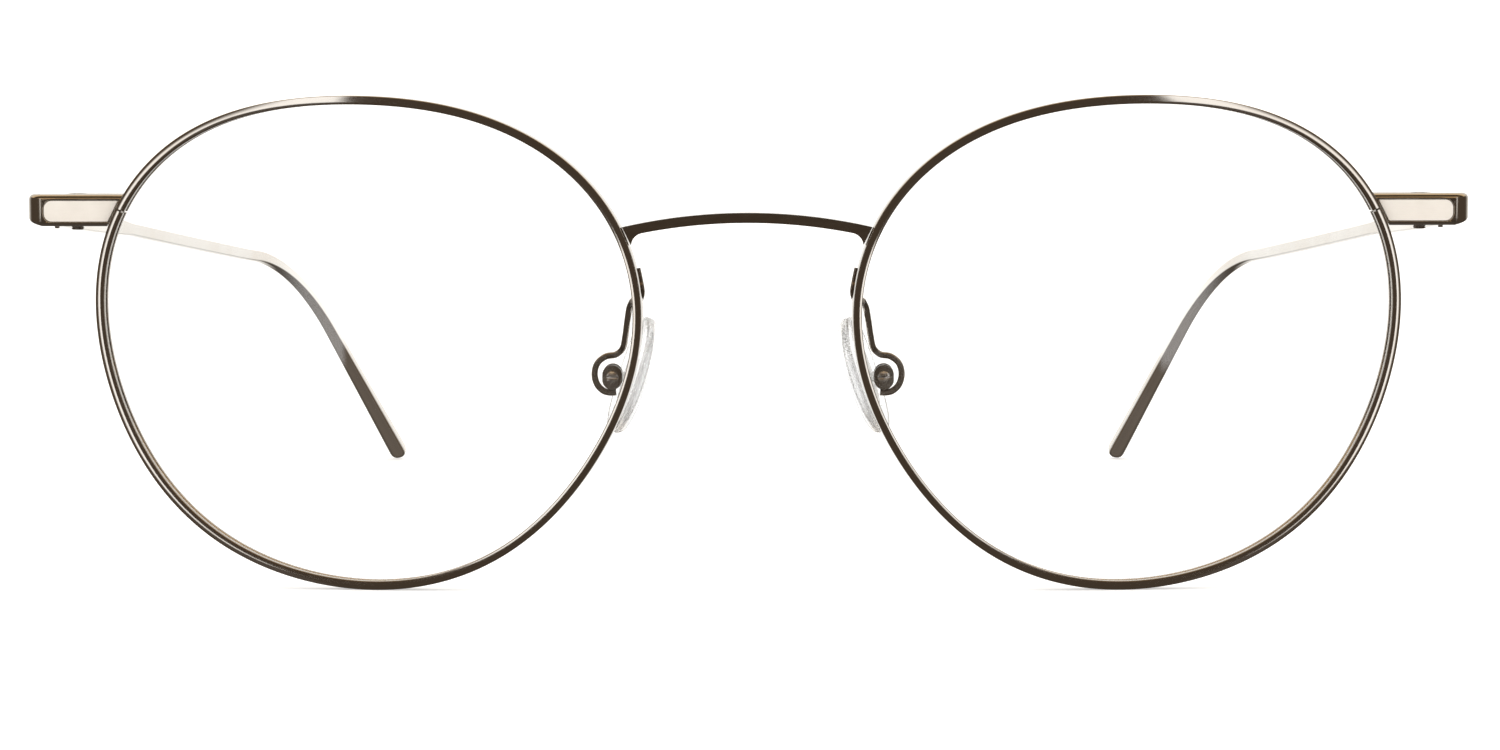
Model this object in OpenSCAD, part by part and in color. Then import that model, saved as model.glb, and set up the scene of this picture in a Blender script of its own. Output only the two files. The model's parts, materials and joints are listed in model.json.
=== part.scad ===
// Round wire eyeglasses: full-rim metal front, two folding temples and screw-on nose pads.
// Millimetres. X runs across the face, Y from the lenses back to the temple tips, Z up.
// The glasses stand open on a table at Z = 0, on the two rims and the two temple tips.
// "left" is the wearer's left, +X. The origin is the centre of the footprint box.

/* [Lens shape] */
// Mean radius of the rim's centre line
lens_mean_r = 24.5; // [23:0.1:25]
// Oval part of the outline (second harmonic)
lens_oval = 1.32; // [0.8:0.02:1.4]
// Pear part of the outline (third harmonic)
lens_pear = 0.81; // [0.5:0.01:0.9]
// Square part of the outline (fourth harmonic)
lens_square = 0.18; // [0.1:0.01:0.22]
// Five-sided part of the outline (fifth harmonic)
lens_five = 0.14; // [0.05:0.01:0.16]
// Distance between the two lens centres
lens_pitch = 73; // [72.6:0.1:74]
// Radius of the lens curve
base_curve_r = 120; // [110:1:140]
// Thickness of the lenses
lens_t = 1.4; // [1.2:0.1:1.5]

/* [Front] */
// Angle by which each lens plane turns back at the temples
wrap = 5; // [4:0.5:6]
// Width of the rim wire seen from the front
rim_w = 0.84; // [0.8:0.02:0.9]
// Depth of the rim wire
rim_depth = 2; // [1.9:0.1:2.2]
// Angle on the rim where the rim lock closes it
lock_angle = 153.4; // [152:0.1:155]
// Overall width across the endpieces
front_w = 137.4; // [137:0.1:138]
// Height of the endpiece bars
endpiece_h = 3.05; // [2.9:0.05:3.2]
// Height of the bridge wire
bridge_h = 0.95; // [0.8:0.05:1.1]
// Rise of the bridge arch
bridge_rise = 1.3; // [1:0.1:1.6]

/* [Temples] */
// Length of each temple along its centre line
temple_len = 139.4; // [138:0.2:141]
// Distance from the hinge to the ear bend
bend_start = 92.5; // [90:0.5:94]
// Length of the ear bend
bend_len = 23.5; // [20:0.5:26]
// Fall of the shaft towards the ear
temple_drop = 5.65; // [5.5:0.05:5.8]
// Downward bend of the tail against the shaft
tail_bend = 42.6; // [40:0.1:44]
// Inward lean of the shaft at the hinge
toe_in = 5; // [4:0.5:6]
// Thickness of the shaft
shaft_t = 1; // [0.9:0.05:1.1]
// Height of the shaft
shaft_h = 1.2; // [1.1:0.05:1.4]

/* [Nose pads] */
// Length of the silicone pads
pad_len = 11.6; // [11:0.2:12]
// Width of the silicone pads
pad_w = 7; // [6:0.5:7]
// Thickness of the silicone pads
pad_t = 1.8; // [1.6:0.1:1.9]
// Splay of the pads seen from the front
pad_splay = 18; // [15:1:20]
// Flare of the pads seen from above
pad_flare = 13; // [10:1:15]

/* [Hidden] */
$fn = 48;

LEFT = 1;
RIGHT = -1;
solder_gap = 0.02;          // between pieces that are soldered face to face
run_gap = 0.05;             // radial clearance of a turning fit

// Outline phases, in degrees from the nasal point of the lens
oval_turn = -6.1;
pear_turn = 26.6;
square_turn = 42.7;
five_turn = 8;

// Rim and lens sections
rim_steps = 96;
lens_rings = 5;
groove_d = 0.3;             // depth of the lens groove
groove_half = 0.35;
lens_gap = 0.04;            // lens edge to rim
lens_set = (rim_depth - lens_t) / 2;
lock_gap = 0.18;            // half of the saw cut, in degrees

// Endpiece and rim lock
bar_set = 0.7;              // bar face behind the rim's front face
block_t = 2.2;
block_h = (endpiece_h - 0.1) / 2;
lock_screw_r = 0.55;
lock_screw_tip = 0.45;      // stands out below the lower block
inlay_h = 2;
inlay_t = 0.35;
inlay_r = 0.75;
corner_r = 0.9;

// Hinge
barrel_r = 1.1;
knuckle_h = 1;
barrel_gap = 0.04;
hinge_h = 2.6;
hinge_offset = 2.2;         // axis inboard of the temple's outer face
hinge_screw_r = 0.55;
hinge_head_r = 0.85;
leg_h = 2.6;
leaf_t = 0.85;
leaf_len = 6.5;

// Pad mechanism, wearer's left
pad_pivot = [13.06, 9.6, 19.8];
box_depth = 2.4;
box_w = 1.9;
box_h = 2.4;
cheek_t = 0.42;
pad_screw_r = 0.4;
arm_w = 1;
arm_t = 0.6;

// ---- Lens plane -------------------------------------------------------------------------

function lens_r(a) = lens_mean_r + lens_oval * cos(2 * (a - oval_turn))
    + lens_pear * cos(3 * (a - pear_turn)) + lens_square * cos(4 * (a - square_turn))
    + lens_five * cos(5 * (a - five_turn));
function sag(rho) = rho * rho / (2 * base_curve_r);

// The rims stand on the table, so their lowest point sets the height of the lens centres
lens_z = max([for (a = [250:0.5:290]) -(lens_r(a) + rim_w / 2) * sin(a)]);

// Point of the wearer's left lens plane: polar angle a (0 nasal, 90 up), radius, depth
function plane_pt(a, rho, depth) = [
    lens_pitch / 2 - rho * cos(a) * cos(wrap) - depth * sin(wrap),
    -rho * cos(a) * sin(wrap) + depth * cos(wrap),
    lens_z + rho * sin(a)
];
function rim_pt(a, out, depth) = plane_pt(a, lens_r(a) + out, sag(lens_r(a)) + depth);
function rim_dir(a) = let (d = rim_pt(a + 0.5, 0, 0) - rim_pt(a - 0.5, 0, 0)) d / norm(d);

// ---- Places that follow from the lens plane ----------------------------------------------

lock_pt = rim_pt(lock_angle, 0, 0);
endpiece_z = lock_pt[2];
bar_y = lock_pt[1] + bar_set;
block_y = rim_pt(lock_angle, rim_w / 2, rim_depth)[1] + solder_gap;
bar_t = block_y - solder_gap - bar_y;
lock_slope = rim_dir(lock_angle)[0] / rim_dir(lock_angle)[2];
rim_half_x = rim_w / 2 * sqrt(1 + lock_slope * lock_slope);
bar_x0 = lock_pt[0] + rim_half_x + 0.06;
half_w = front_w / 2;
hinge_x = half_w - hinge_offset;
hinge_y = block_y + 3.1;
hinge_z = endpiece_z;
lock_screw_x = bar_x0 + 3.9;
lock_screw_y = block_y + block_t / 2;
bridge_angle = 22.4;
bridge_end = rim_pt(bridge_angle, 0, 0);

// ---- Temple path, in the hinge frame of the wearer's left --------------------------------

shaft_steps = 64;

function ramp(s, from, len) = max(0, min(1, (s - from) / len));
function smooth(t) = t * t * (3 - 2 * t);
function shaft_pitch(s) = tail_bend * ramp(s, bend_start, bend_len);
function shaft_yaw(s) = toe_in + 2 * ramp(s, 0, bend_start) + 10.6 * smooth(ramp(s, 84, 18));
function shaft_dir(s) = let (p = shaft_pitch(s), y = shaft_yaw(s))
    [-sin(y), cos(y) * cos(p), -cos(y) * sin(p)];
function half_t(s) = (shaft_t + 0.4 * ramp(s, bend_start, bend_len)
    + 0.6 * ramp(s, 116, temple_len - 118)) / 2;
function half_h(s) = (shaft_h + 1.4 * (1 - pow(ramp(s, 0, 36), 2))
    + 0.2 * ramp(s, bend_start, bend_len) + 0.7 * ramp(s, 114, temple_len - 116)) / 2;
// The last millimetre closes in a rounded end
function tip_scale(s) = let (t = ramp(s, temple_len - 1.1, 1.1)) sqrt(max(0.04, 1 - t * t));

step_len = temple_len / shaft_steps;
shaft_s = concat([for (i = [0:shaft_steps - 1]) i * step_len],
    [for (t = [0.5, 0.8, 0.95, 1]) temple_len - 1.1 * (1 - t)]);
shaft_start = [hinge_offset - shaft_t / 2, 0.08, 0];
function shaft_walk(i = 1, p = shaft_start) = i >= len(shaft_s) ? [p] :
    concat([p], shaft_walk(i + 1,
        p + (shaft_s[i] - shaft_s[i - 1]) * shaft_dir((shaft_s[i] + shaft_s[i - 1]) / 2)));
shaft_path = shaft_walk();

// Section across the shaft: an eight-sided bar with broken corners
function shaft_section(i) = let (
    p = shaft_path[i],
    d = shaft_dir(shaft_s[i]),
    inboard = [-1, 0, 0] + d[0] * d,
    side = inboard / norm(inboard),
    up = cross(side, d) * -1,
    ht = half_t(shaft_s[i]) * tip_scale(shaft_s[i]),
    hh = half_h(shaft_s[i]) * tip_scale(shaft_s[i]),
    c = 0.28 * min(ht, hh)
) [for (q = [
    [c - ht, -hh], [ht - c, -hh], [ht, c - hh], [ht, hh - c],
    [ht - c, hh], [c - ht, hh], [-ht, hh - c], [-ht, c - hh]
]) p + q[0] * side + q[1] * up];

// Hinge-frame point to height and depth over the table
function fall_z(p) = hinge_z + p[2] * cos(temple_drop) - p[1] * sin(temple_drop);
function fall_y(p) = hinge_y + p[1] * cos(temple_drop) + p[2] * sin(temple_drop);
tip_points = [for (i = [len(shaft_s) - 8:len(shaft_s) - 1]) each shaft_section(i)];
tip_z = min([for (p = tip_points) fall_z(p)]);
back_y = max([for (p = tip_points) fall_y(p)]);
front_y = min([for (rho = [0:0.5:20]) plane_pt(0, rho, sag(rho) + lens_set)[1]]);
mid_y = (front_y + back_y) / 2;

// ---- Nose pad path and places ------------------------------------------------------------

pad_centre = pad_pivot + [-2.1, 0.8, 0];
// The arm's foot follows the back of the rim; the rest is set by hand, down to the pad box
arm_points = concat(
    [for (a = [14, 11.5, 9]) rim_pt(a, rim_w / 2 - 0.12, rim_depth + arm_w / 2 + solder_gap)],
    [
        [10.3, 3.95, 27.55],
        [10.85, 5, 27.35],
        [11.25, 6.1, 26.7],
        [11.5, 7.2, 25.5],
        [11.75, 8.5, 23.9],
        [12.05, 9.4, 22.6],
        [12.7, 9.6, 21.95],
        [13.7, 9.6, 21.75],
        [14.5, 9.6, 21.1],
        [14.78, 9.6, 20.1],
        [14.55, 9.6, 19.1],
        [13.95, 9.6, 18.45],
        [13.25, 9.6, 18.26],
        [12.7, 9.6, 18.28]
    ]
);
arm_steps = 3;
arm_last = len(arm_points) - 1;
function arm_knot(i) = arm_points[max(0, min(arm_last, i))];
// Catmull-Rom curve through the points
function arm_at(i, t) = let (
    a = arm_knot(i - 1), b = arm_knot(i), c = arm_knot(i + 1), d = arm_knot(i + 2)
) (2 * b + (c - a) * t + (2 * a - 5 * b + 4 * c - d) * t * t
    + (3 * b - a - 3 * c + d) * t * t * t) / 2;
arm_path = concat(
    [for (i = [0:arm_last - 1], k = [0:arm_steps - 1]) arm_at(i, k / arm_steps)],
    [arm_points[arm_last]]
);
function arm_dir(i) = let (
    n = len(arm_path) - 1,
    d = arm_path[min(n, i + 1)] - arm_path[max(0, i - 1)]
) d / norm(d);
function arm_section(i) = let (
    d = arm_dir(i),
    depth = [0, 1, 0] - d[1] * d,
    v = depth / norm(depth),
    u = cross(v, d),
    a = arm_t / 2,
    b = arm_w / 2
) [for (q = [
    [-0.4 * a, -b], [0.4 * a, -b], [a, -0.6 * b], [a, 0.6 * b],
    [0.4 * a, b], [-0.4 * a, b], [-a, 0.6 * b], [-a, -0.6 * b]
]) arm_path[i] + q[0] * u + q[1] * v];

// ---- Helpers -----------------------------------------------------------------------------

// Mirrors a wearer's-left piece to the other side and sets the origin
module on_side(side) {
    translate([0, -mid_y, 0])
        if (side == LEFT) children();
        else mirror([1, 0, 0]) children();
}

// Skin over rings of points that run anticlockwise about the direction of travel
module sweep(rings) {
    n = len(rings[0]);
    last = len(rings) - 1;
    polyhedron(
        points = [for (ring = rings) each ring],
        faces = concat(
            [[for (j = [0:n - 1]) j]],
            [for (i = [0:last - 1], j = [0:n - 1]) let (k = (j + 1) % n)
                each [
                    [i * n + j, (i + 1) * n + j, (i + 1) * n + k],
                    [i * n + j, (i + 1) * n + k, i * n + k]
                ]],
            [[for (j = [n - 1:-1:0]) last * n + j]]
        )
    );
}

// Extrudes a front view (x, z) from depth y0 to y1
module front_view(y0, y1) {
    translate([0, y1, 0])
        rotate([90, 0, 0])
            linear_extrude(height = y1 - y0)
                children();
}

module hinge_frame() {
    translate([hinge_x, hinge_y, hinge_z])
        rotate([-temple_drop, 0, 0])
            children();
}

module box_between(low, high) {
    translate(low)
        cube(high - low);
}

// Slot across a screw head, cut from the top face down
module screw_slot(r, top, depth) {
    translate([-r - 0.2, -0.12, top - depth])
        cube([2 * r + 0.4, 0.24, depth + 0.1]);
}

// ---- Rims, lenses and bridge -------------------------------------------------------------

module rim(side) {
    half = rim_w / 2;
    c = 0.12;
    mid = rim_depth / 2;
    section = [
        [c, -half], [mid - groove_half, -half], [mid, groove_d - half],
        [mid + groove_half, -half], [rim_depth - c, -half], [rim_depth, c - half],
        [rim_depth, half - c], [rim_depth - c, half], [c, half], [0, half - c], [0, c - half]
    ];
    start = lock_angle + lock_gap;
    turn = 360 - 2 * lock_gap;
    color("dimgray")
        on_side(side)
            sweep([for (i = [0:rim_steps]) let (a = start + turn * i / rim_steps)
                [for (q = section) rim_pt(a, q[1], q[0])]]);
}

module lens(side) {
    inset = rim_w / 2 + lens_gap;
    mid = rim_depth / 2;
    bevel = groove_half - 0.05;
    angles = [for (i = [0:rim_steps - 1]) i * 360 / rim_steps];
    shares = concat([0.02], [for (k = [1:lens_rings]) k / lens_rings]);
    front = [for (f = shares) [for (a = angles) let (rho = f * (lens_r(a) - inset))
        plane_pt(a, rho, sag(rho) + lens_set)]];
    edge = [for (q = [[0, -bevel], [groove_d, 0], [0, bevel]])
        [for (a = angles) rim_pt(a, q[0] - inset, mid + q[1])]];
    back = [for (i = [lens_rings:-1:0]) [for (a = angles)
        let (rho = shares[i] * (lens_r(a) - inset)) plane_pt(a, rho, sag(rho) + lens_set + lens_t)]];
    color([0.85, 0.92, 0.95, 0.35])
        on_side(side)
            sweep(concat(front, edge, back));
}

// Arched bar between the rims; each end has a short foot along its rim
module bridge() {
    slope = rim_dir(bridge_angle)[0] / rim_dir(bridge_angle)[2];
    front = 0.2;
    back = 1.8;
    side_gap = (rim_w / 2 + solder_gap) * sqrt(1 + slope * slope) + back * sin(wrap);
    reach = bridge_end[0] - side_gap;
    rise_r = (reach * reach + bridge_rise * bridge_rise) / (2 * bridge_rise);
    tall = 4;
    color("dimgray")
        translate([0, -mid_y, 0])
            translate([0, bridge_end[1], bridge_end[2]])
                intersection() {
                    union() {
                        front_view(front, back)
                            translate([0, bridge_rise - rise_r])
                                difference() {
                                    circle(r = rise_r + bridge_h / 2, $fn = 360);
                                    circle(r = rise_r - bridge_h / 2, $fn = 360);
                                }
                        for (flip = [0, 1])
                            mirror([flip, 0, 0])
                                front_view(front, back)
                                    bridge_foot(reach, rise_r, slope);
                    }
                    front_view(front - 1, back + 1)
                        polygon([
                            [reach + slope * tall, tall], [-reach - slope * tall, tall],
                            [-reach + slope * tall, -tall], [reach - slope * tall, -tall]
                        ]);
                }
}

// Fillet from the arch's lower edge down the rim, with a pinhole where the solder stops
module bridge_foot(reach, rise_r, slope) {
    r = 1.27;
    low = 1.45;
    under_r = rise_r - bridge_h / 2;
    x = reach - 1.9;
    z = bridge_rise - rise_r + sqrt(pow(under_r - r, 2) - x * x);
    x0 = x * under_r / (under_r - r);
    difference() {
        polygon([[x0, 0.3], [reach + 0.3, -0.1], [reach - low * slope, -low], [x0, -low]]);
        translate([x, z])
            circle(r = r);
        translate([reach - 0.68, -0.72])
            circle(r = 0.11);
    }
}

// ---- Endpieces and rim locks -------------------------------------------------------------

module bar_face() {
    h = endpiece_h / 2;
    translate([0, endpiece_z]) {
        polygon([
            [bar_x0 + lock_slope * h, h], [bar_x0 - lock_slope * h, -h],
            [half_w - corner_r, -h], [half_w - corner_r, h]
        ]);
        for (z = [-1, 1])
            translate([half_w - corner_r, z * (h - corner_r)])
                circle(r = corner_r);
        translate([half_w - corner_r, corner_r - h])
            square([corner_r, 2 * (h - corner_r)]);
    }
}

module inlay_face(grow) {
    h = inlay_h / 2 + grow;
    x1 = half_w - 1.6 + grow;
    x0 = bar_x0 + 0.2 - grow;
    r = inlay_r;
    translate([0, endpiece_z - 0.08]) {
        polygon([[x0 + lock_slope * h, h], [x0 - lock_slope * h, -h], [x1 - r, -h], [x1 - r, h]]);
        for (z = [-1, 1])
            translate([x1 - r, z * (h - r)])
                circle(r = r);
        translate([x1 - r, r - h])
            square([r, 2 * (h - r)]);
    }
}

// Bar with broken edges and a rounded turn into the leg that meets the temple
module endpiece(side) {
    h = endpiece_h / 2;
    c = 0.3;
    back = bar_y + 2 * bar_t;
    color("dimgray")
        on_side(side)
            difference() {
                union() {
                    intersection() {
                        front_view(bar_y, back)
                            bar_face();
                        translate([0, 0, endpiece_z - endpiece_h])
                            linear_extrude(height = 2 * endpiece_h) {
                                translate([bar_x0 - 2, bar_y])
                                    square([half_w - bar_t - bar_x0 + 2, bar_t]);
                                translate([half_w - bar_t, bar_y + bar_t])
                                    circle(r = bar_t);
                            }
                        translate([bar_x0 - 2, 0, endpiece_z])
                            rotate([90, 0, 90])
                                linear_extrude(height = 20)
                                    polygon([
                                        [bar_y + c, h], [bar_y, h - c], [bar_y, c - h],
                                        [bar_y + c, -h], [back, -h], [back, h]
                                    ]);
                    }
                    hinge_frame()
                        box_between(
                            [hinge_offset - shaft_t, bar_y + bar_t - hinge_y, -leg_h / 2],
                            [hinge_offset, 0, leg_h / 2]
                        );
                }
                front_view(bar_y - 1, bar_y + inlay_t + 0.07)
                    inlay_face(solder_gap);
            }
}

module endpiece_inlay(side) {
    color("ivory")
        on_side(side)
            front_view(bar_y + 0.05, bar_y + inlay_t + 0.05)
                inlay_face(0);
}

// Half of the rim lock: top = 1 is the upper half, -1 the lower
module closing_block(side, top) {
    x_in = lock_pt[0] - rim_half_x + 0.55;
    x_out = hinge_x - barrel_r - 0.1;
    color("dimgray")
        on_side(side)
            difference() {
                front_view(block_y, block_y + block_t)
                    translate([0, endpiece_z])
                        polygon([
                            [x_in + lock_slope * 0.05 * top, 0.05 * top],
                            [x_in + lock_slope * (block_h + 0.05) * top, (block_h + 0.05) * top],
                            [x_out, (block_h + 0.05) * top],
                            [x_out, 0.05 * top]
                        ]);
                translate([lock_screw_x, lock_screw_y, endpiece_z - 5])
                    cylinder(r = lock_screw_r + solder_gap, h = 10);
                if (top == 1)
                    translate([lock_screw_x, lock_screw_y, endpiece_z + block_h - 0.4])
                        cylinder(r = 0.87, h = 1);
            }
}

module closing_screw(side) {
    top = block_h - 0.02;
    color("gray")
        on_side(side)
            translate([lock_screw_x, lock_screw_y, endpiece_z])
                difference() {
                    union() {
                        translate([0, 0, -block_h - lock_screw_tip])
                            cylinder(r = lock_screw_r, h = block_h + lock_screw_tip + top);
                        translate([0, 0, top - 0.35])
                            cylinder(r = 0.84, h = 0.35);
                    }
                    screw_slot(0.84, top, 0.18);
                }
}

// ---- Hinges ------------------------------------------------------------------------------

// Two barrels on a plate soldered to the endpiece leg
module front_hinge(side) {
    wall = hinge_offset - shaft_t - solder_gap;
    inner = knuckle_h / 2 + barrel_gap;
    front = bar_y + 2 * bar_t + 0.18 - hinge_y;
    color("dimgray")
        on_side(side)
            hinge_frame()
                difference() {
                    union() {
                        for (z = [-hinge_h / 2, inner]) {
                            translate([0, 0, z])
                                cylinder(r = barrel_r, h = hinge_h / 2 - inner);
                            box_between([0, front, z], [wall, 0, z + hinge_h / 2 - inner]);
                        }
                        box_between([0.3, front, -hinge_h / 2], [wall, -1.25, hinge_h / 2]);
                    }
                    translate([0, 0, -5])
                        cylinder(r = hinge_screw_r + solder_gap, h = 10);
                    translate([0, 0, hinge_h / 2 - 0.4])
                        cylinder(r = hinge_head_r + solder_gap, h = 1);
                }
}

module hinge_screw(side) {
    top = hinge_h / 2 - 0.03;
    tip = 0.6;
    tip_r = 0.24;
    color("gray")
        on_side(side)
            hinge_frame()
                difference() {
                    union() {
                        translate([0, 0, -hinge_h / 2])
                            cylinder(r = hinge_screw_r, h = hinge_h / 2 + top);
                        translate([0, 0, -hinge_h / 2 - tip])
                            cylinder(r = tip_r, h = tip + 0.2);
                        translate([0, 0, top - 0.34])
                            cylinder(r = hinge_head_r, h = 0.34);
                    }
                    screw_slot(hinge_head_r, top, 0.18);
                }
}

// Middle barrel and the leaf on the inner face of the shaft
module temple_hinge(side) {
    wall = hinge_offset - shaft_t;
    reach = barrel_r + 0.35;
    color("dimgray")
        on_side(side)
            hinge_frame()
                difference() {
                    union() {
                        translate([0, 0, -knuckle_h / 2])
                            cylinder(r = barrel_r, h = knuckle_h);
                        translate([wall, shaft_start[1], 0])
                            rotate([0, 0, toe_in]) {
                                box_between(
                                    [-wall, 0.02, -knuckle_h / 2],
                                    [-solder_gap, leaf_len, knuckle_h / 2]
                                );
                                box_between(
                                    [-leaf_t, reach, -0.85],
                                    [-solder_gap, leaf_len, 0.85]
                                );
                            }
                    }
                    translate([0, 0, -5])
                        cylinder(r = hinge_screw_r + run_gap, h = 10);
                }
}

module temple(side) {
    color("silver")
        on_side(side)
            hinge_frame()
                sweep([for (i = [0:len(shaft_s) - 1]) shaft_section(i)]);
}

// ---- Nose pads ---------------------------------------------------------------------------

module pad_arm(side) {
    color("dimgray")
        on_side(side)
            sweep([for (i = [0:len(arm_path) - 1]) arm_section(i)]);
}

// Two cheeks and a back wall around the pad's lug, open towards the nose
module pad_box(side) {
    w = box_w / 2;
    h = box_h / 2;
    color("dimgray")
        on_side(side)
            translate(pad_pivot)
                difference() {
                    front_view(-box_depth / 2, box_depth / 2) {
                        square([box_w, box_h - box_w], center = true);
                        for (z = [-1, 1])
                            translate([0, z * (h - w)])
                                circle(r = w);
                    }
                    box_between(
                        [-w - 1, cheek_t - box_depth / 2, -h - 1],
                        [w - 0.25, box_depth / 2 - cheek_t, h + 1]
                    );
                    rotate([90, 0, 0])
                        cylinder(r = pad_screw_r + solder_gap, h = 10, center = true);
                }
}

module pad_screw(side) {
    head_r = 0.6;
    front = box_depth / 2 + 0.02;
    color("gray")
        on_side(side)
            translate(pad_pivot)
                rotate([90, 0, 0])
                    difference() {
                        union() {
                            translate([0, 0, -box_depth / 2])
                                cylinder(r = pad_screw_r, h = box_depth);
                            translate([0, 0, front])
                                cylinder(r = head_r, h = 0.32);
                            cylinder(r = pad_screw_r, h = front + 0.1);
                        }
                        screw_slot(head_r, front + 0.32, 0.16);
                    }
}

module pad_frame() {
    translate(pad_centre)
        rotate([0, -pad_splay, 0])
            rotate([0, 0, -pad_flare])
                children();
}

module oval(w, h, steps) {
    polygon([for (i = [0:steps - 1]) let (a = i * 360 / steps)
        [w / 2 * sign(cos(a)) * pow(abs(cos(a)), 0.85), h / 2 * sign(sin(a)) * pow(abs(sin(a)), 0.85)]]);
}

// Stiff insert: a lug on the screw and a plate set in the back of the silicone
module pad_core(side) {
    lug_t = box_depth - 2 * cheek_t - 0.2;
    plate_t = 0.36;
    color("lightgray")
        on_side(side)
            difference() {
                union() {
                    translate(pad_pivot) {
                        rotate([90, 0, 0])
                            cylinder(r = 0.62, h = lug_t, center = true);
                    }
                    difference() {
                        translate(pad_pivot - [1.5, 0, 0])
                            cube([2.8, lug_t, 0.9], center = true);
                        pad_frame()
                            translate([pad_t / 2 - 0.5 - 2, 0, 0])
                                cube(4, center = true);
                    }
                    pad_frame()
                        translate([pad_t / 2 - 0.5, 0, 0])
                            rotate([90, 0, 90])
                                linear_extrude(height = plate_t)
                                    oval(3.2, 6.4, 40);
                }
                translate(pad_pivot)
                    rotate([90, 0, 0])
                        cylinder(r = pad_screw_r + run_gap, h = 10, center = true);
            }
}

// Crowned oval of clear silicone with a pocket for the insert
module nose_pad(side) {
    crown_r = 34;
    color([0.9, 0.93, 0.95, 0.5])
        on_side(side)
            pad_frame()
                difference() {
                    intersection() {
                        translate([-pad_t / 2, 0, 0])
                            rotate([90, 0, 90])
                                linear_extrude(height = pad_t)
                                    oval(pad_w, pad_len, 64);
                        translate([crown_r - pad_t / 2, 0, 0])
                            sphere(r = crown_r, $fn = 180);
                    }
                    translate([pad_t / 2 - 0.55, 0, 0])
                        rotate([90, 0, 90])
                            linear_extrude(height = 1)
                                oval(3.24, 6.44, 40);
                }
}

// ---- Parts -------------------------------------------------------------------------------

rim(LEFT);  // rim_left
rim(RIGHT);  // rim_right
lens(LEFT);  // lens_left
lens(RIGHT);  // lens_right
bridge();
endpiece(LEFT);  // endpiece_left
endpiece(RIGHT);  // endpiece_right
endpiece_inlay(LEFT);  // endpiece_inlay_left
endpiece_inlay(RIGHT);  // endpiece_inlay_right
closing_block(LEFT, 1);  // closing_block_upper_left
closing_block(RIGHT, 1);  // closing_block_upper_right
closing_block(LEFT, -1);  // closing_block_lower_left
closing_block(RIGHT, -1);  // closing_block_lower_right
closing_screw(LEFT);  // closing_screw_left
closing_screw(RIGHT);  // closing_screw_right
front_hinge(LEFT);  // front_hinge_left
front_hinge(RIGHT);  // front_hinge_right
hinge_screw(LEFT);  // hinge_screw_left
hinge_screw(RIGHT);  // hinge_screw_right
temple_hinge(LEFT);  // temple_hinge_left
temple_hinge(RIGHT);  // temple_hinge_right
temple(LEFT);  // temple_left
temple(RIGHT);  // temple_right
pad_arm(LEFT);  // pad_arm_left
pad_arm(RIGHT);  // pad_arm_right
pad_box(LEFT);  // pad_box_left
pad_box(RIGHT);  // pad_box_right
pad_screw(LEFT);  // pad_screw_left
pad_screw(RIGHT);  // pad_screw_right
pad_core(LEFT);  // pad_core_left
pad_core(RIGHT);  // pad_core_right
nose_pad(LEFT);  // nose_pad_left
nose_pad(RIGHT);  // nose_pad_right
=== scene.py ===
"""Looks of the round wire eyeglasses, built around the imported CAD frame.

The wire, lenses, temples and pads are swept again with many more steps and rounded sections,
from the same dimensions as the CAD. The small turned and milled pieces are copies of their CAD
nodes with broken edges. Sizes are in millimetres up to the point where a mesh is made, and
angles of the lens outline are in degrees, from the nasal point.
"""

import json
import math

import bmesh
import bpy
from mathutils import Matrix, Vector


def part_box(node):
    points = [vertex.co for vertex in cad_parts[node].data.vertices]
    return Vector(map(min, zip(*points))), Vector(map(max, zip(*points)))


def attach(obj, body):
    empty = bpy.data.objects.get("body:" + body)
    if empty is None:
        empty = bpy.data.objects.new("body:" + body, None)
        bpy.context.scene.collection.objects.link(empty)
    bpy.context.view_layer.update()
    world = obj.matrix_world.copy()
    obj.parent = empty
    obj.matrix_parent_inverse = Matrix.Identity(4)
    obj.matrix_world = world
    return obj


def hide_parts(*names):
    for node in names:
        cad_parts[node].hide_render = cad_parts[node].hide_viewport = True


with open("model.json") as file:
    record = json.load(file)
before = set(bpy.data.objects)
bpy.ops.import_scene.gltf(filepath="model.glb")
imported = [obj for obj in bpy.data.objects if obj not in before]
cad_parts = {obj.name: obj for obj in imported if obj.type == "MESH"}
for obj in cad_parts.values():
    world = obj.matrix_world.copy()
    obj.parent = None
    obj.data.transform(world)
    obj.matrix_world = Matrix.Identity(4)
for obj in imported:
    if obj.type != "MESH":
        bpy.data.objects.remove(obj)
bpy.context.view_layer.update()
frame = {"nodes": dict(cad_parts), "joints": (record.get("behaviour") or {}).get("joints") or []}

MM = 0.001
LEFT, RIGHT = 1, -1
SIDES = {"left": LEFT, "right": RIGHT}

# ---- Driving dimensions, the same as the CAD's ---------------------------------------------

LENS_MEAN_R = 24.5
# Harmonics of the lens outline: order, size, phase in degrees from the nasal point
OUTLINE = ((2, 1.32, -6.1), (3, 0.81, 26.6), (4, 0.18, 42.7), (5, 0.14, 8))
LENS_PITCH = 73
BASE_CURVE_R = 120
LENS_T = 1.4
LENS_GAP = 0.04
WRAP = math.radians(5)
RIM_W = 0.84
RIM_DEPTH = 2
GROOVE_D = 0.3
GROOVE_HALF = 0.35
LOCK_ANGLE = 153.4
LOCK_GAP = 0.18
LOCK_CLEAR = 0.06
SOLDER_GAP = 0.02

BRIDGE_ANGLE = 22.4
BRIDGE_H = 0.95
BRIDGE_RISE = 1.3
BRIDGE_FRONT, BRIDGE_BACK = 0.2, 1.8
FOOT_R, FOOT_IN = 1.27, 1.9

TEMPLE_LEN = 139.4
BEND_START, BEND_LEN = 92.5, 23.5
TAIL_BEND = 42.6
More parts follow.
